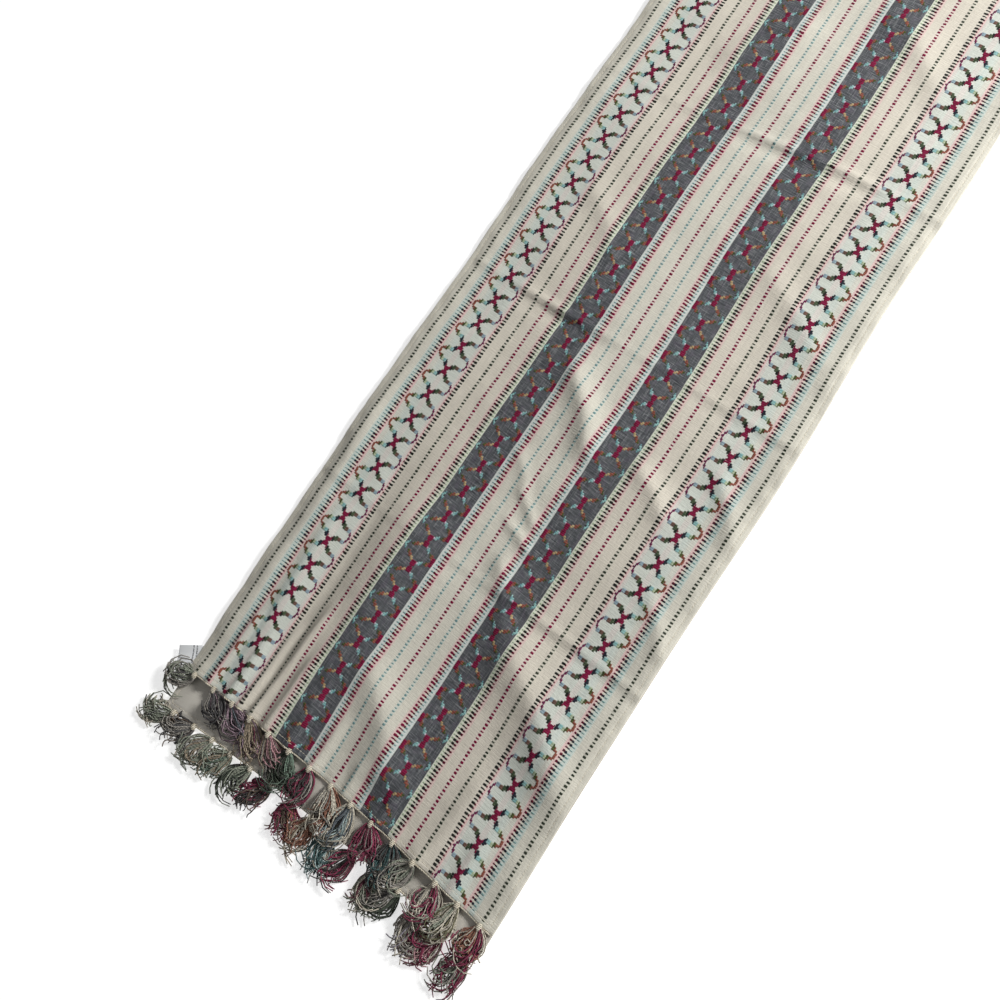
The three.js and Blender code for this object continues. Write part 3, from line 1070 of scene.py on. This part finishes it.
def header_cord(node, end, layer, place):
    """Two plies along the end seam, with the wraps of a knot at every tassel."""
    x = np.linspace(-HALF + 1, HALF - 1, 420)
    line = layer.centre(x, end(x))
    line[:, 1] -= CORD_OUT
    paths = []
    for ply in range(2):
        phase = x * (2 * math.pi / TWIST) + ply * math.pi
        twist = np.stack([np.zeros_like(x), np.cos(phase), np.sin(phase)], -1) * PLY_OUT
        paths.append(line + twist)
    turn = np.linspace(0, WRAPS * 2 * math.pi, 64)
    t = np.linspace(-1, 1, 64)
    swell = KNOT_OUT * np.sqrt(np.clip(1 - (t * 0.86) ** 2, 0, 1))
    wraps = []
    for i in range(TASSELS):
        root = tassel_root(i, end, layer)
        wraps.append(np.stack([
            root[0] + swell * np.cos(turn),
            root[1] - 1.9 - t * KNOT_HALF,
            root[2] + 0.5 + swell * np.sin(turn),
        ], -1))
    points, faces, uv = tubes(np.array(paths), np.full((2, len(x)), PLY_RADIUS))
    knots, more, knots_uv = tubes(np.array(wraps), np.full((TASSELS, len(t)), WRAP_RADIUS))
    faces += [[v + len(points) for v in face] for face in more]
    points = np.concatenate([points, knots])
    points[:, 2] = np.maximum(points[:, 2], 0.02)
    piece = new_mesh(node + "_plied", points, faces, cream_thread, np.concatenate([uv, knots_uv]))
    place(piece, node, "header_cord")


header_cord("header_cord_upper", upper_end, upper_lining, on_upper)
header_cord("header_cord_lower", lower_end, lower_lining, on_lower)


# ------------------------ stitching
def stitch_tree():
    """Straight stitches: a rounded thread on every point, turned as the point says."""
    tree, graph, given = new_tree("top stitches", [
        ("Stitch length", "NodeSocketFloat", 2.4),
        ("Thread", "NodeSocketFloat", 0.42),
        ("Seed", "NodeSocketInt", 9),
        ("Yarn", "NodeSocketMaterial", None),
    ])
    bead = graph.add("GeometryNodeMeshUVSphere", {}, (8, 6, 1.0))
    size = graph.point(given["Stitch length"] * 0.5, given["Thread"] * 0.5, given["Thread"] * 0.4)
    turn = graph.named("turn")
    swing = graph.point(0.0, 0.0, graph.random(-0.07, 0.07, given["Seed"]))
    turned = graph.add("ShaderNodeVectorMath", {"operation": "ADD"}, (turn, swing))
    return on_points(tree, graph, given, bead, size, turned)


stitches = stitch_tree()
STITCH_PITCH = 3.0


def stitch_line(node, layer, start, stop, place):
    """A row of stitches from one place on the flat cloth to another."""
    (ax, ay), (bx, by) = start, stop
    length = math.hypot(bx - ax, by - ay)
    t = (np.arange(int(length / STITCH_PITCH)) + 0.5) * STITCH_PITCH / length
    points = np.stack([ax + (bx - ax) * t, ay + (by - ay) * t, np.zeros_like(t)], -1)
    turn = np.tile([0.0, 0.0, math.atan2(by - ay, bx - ax)], (len(t), 1))
    name = node + "_thread"
    values = {"Stitch length": 2.5, "Thread": 0.5, "Seed": 9, "Yarn": cream_thread}
    mesh = run_tree(name, stitches, points, values, turn=turn)
    settle(mesh, layer, 0.1)
    place(as_piece(name, mesh), node, "stitching")


def corner(side, end):
    """Where the stitching turns from a side seam into an end seam."""
    x = side * (HALF - STITCH_IN)
    return x, end(x) + STITCH_IN


LEAVES = (("upper", upper_face, upper_end, on_upper), ("lower", lower_lining, lower_end, on_lower))
for side, hand in ((-1, "left"), (1, "right")):
    for leaf, layer, end, place in LEAVES:
        start = corner(side, end)
        stitch_line(f"side_stitch_{hand}_{leaf}", layer, start, (start[0], FOLD - 1), place)
for leaf, layer, end, place in LEAVES:
    stitch_line(f"end_stitch_{leaf}", layer, corner(-1, end), corner(1, end), place)


# ------------------------ care label
def label_colour(graph):
    x, y = graph.on_cloth()
    grain = graph.patches(x * 3.0, y * 3.0)
    bars = (x * (math.pi / 1.5)).sin().above(0.2, 0.5)
    bars = bars * x.between(-172.6, -166.0, 0.1)
    broken = graph.patches(x * 0.7, y * 1.4, 1.0).above(0.42, 0.5)
    colour = graph.mix(bars * broken * 0.95, linear(238, 240, 242), linear(84, 86, 92))
    rib = (y * (math.pi / 0.3)).sin()
    return colour, 0.5 + grain * 0.15, rib


label_cloth = surface("satin label", label_colour, sheen=0.1, bump=0.3, depth=0.08 * MM)
low, high = label_low / MM, label_high / MM
lx = np.linspace(high.x + 3.0, low.x, 22)
ly = np.linspace(low.y, high.y, 14)
gx, gy = np.meshgrid(lx, ly)
anchor = upper_lining.centre(np.full(gx.shape, -HALF + 0.5), gy)
past = (high.x - gx).clip(-4, 40)
lz = anchor[..., 2] + 0.4 + 1.5 * np.sin(past / 11.0)
lz = lz - past.clip(0) * 0.06 + 0.2 * np.sin(gy / 2.4)
swing = math.radians(31)  # the label hangs askew from its seam
LABEL_HALF = 0.12  # half its thickness
along = gy - (low.y + high.y) / 2
out = gx + HALF
skins = [
    np.stack([
        anchor[..., 0] + out * math.cos(swing) - along * math.sin(swing),
        anchor[..., 1] - along + along * math.cos(swing) + out * math.sin(swing),
        lz + s * LABEL_HALF,
    ], -1)
    for s in (1, -1)
]
flat = np.stack([gx, gy], -1)
label = shell("care_label_satin", skins[0][:, ::-1], skins[1][:, ::-1], flat[:, ::-1], label_cloth)
on_upper(label, "care_label", "label")

# ------------------------ what each cloth was cut to
upper_long = (FOLD - upper_end(0.0)) * MM
lower_long = (FOLD - lower_end(0.0)) * MM


# ------------------------ floor, light, camera
def floor_colour(graph):
    grain = graph.noise(graph.in_place(), 40.0, 3.0)
    return graph.mix(grain, linear(250, 250, 250), linear(247, 247, 247)), 0.9, grain


floor_mesh = bpy.data.meshes.new("floor")
FLOOR = 6.0
corners = [(-FLOOR, -FLOOR, 0), (FLOOR, -FLOOR, 0), (FLOOR, FLOOR, 0), (-FLOOR, FLOOR, 0)]
floor_mesh.from_pydata(corners, [], [(0, 1, 2, 3)])
floor = shown("floor", floor_mesh)
floor.location.z = -0.4 * MM
pale_floor = surface("pale floor", floor_colour, sheen=0.0, bump=0.02)
# A faint glow of its own keeps the floor white where the light falls off.
glow = pale_floor.node_tree.nodes["Principled BSDF"].inputs
glow["Emission Color"].default_value = (1, 1, 1, 1)
glow["Emission Strength"].default_value = 0.58
floor_mesh.materials.append(pale_floor)

world = bpy.data.worlds.new("soft studio")
world.use_nodes = True
# The room lights the cloth gently, and is as pale as the floor where it is seen.
room = Graph(world.node_tree)
seen = room.add("ShaderNodeLightPath")
background = world.node_tree.nodes["Background"]
background.inputs["Color"].default_value = (1, 1, 1, 1)
world.node_tree.links.new((seen * 0.68 + 0.17).socket, background.inputs["Strength"])
bpy.context.scene.world = world


def area_light(name, place, aim, size, power, colour):
    data = bpy.data.lights.new(name, "AREA")
    data.shape, data.size, data.energy, data.color = "DISK", size, power, colour
    lamp = shown(name, data)
    lamp.location = place
    lamp.rotation_mode = "QUATERNION"
    lamp.rotation_quaternion = (Vector(aim) - Vector(place)).to_track_quat("-Z", "Y")
    return lamp


key_light = area_light("window", (1.15, 1.1, 0.95), (0.0, 0.15, 0), 0.55, 45, (1.0, 1.0, 0.985))
fill_light = area_light("fill", (-1.4, -1.6, 2.2), (0, 0, 0), 2.0, 4, (0.97, 0.98, 1.0))
bpy.context.scene.view_settings.view_transform = "Standard"

camera_data = bpy.data.cameras.new("camera")
camera_data.lens = 41.4
camera_data.sensor_width = 36
camera_data.clip_start = 0.01
camera = shown("camera", camera_data)
look = Vector((-0.356, 0.127, -0.926)).normalized()
up = Vector((-0.482, 0.824, 0.299))
right = look.cross(up).normalized()
up = right.cross(look).normalized()
camera.location = Vector((312.9, 124.3 + FIRST_MOTIF, 853.9 + TOP + 2)) * MM
camera.rotation_mode = "QUATERNION"
camera.rotation_quaternion = Matrix((right, up, -look)).transposed().to_quaternion()
bpy.context.scene.camera = camera
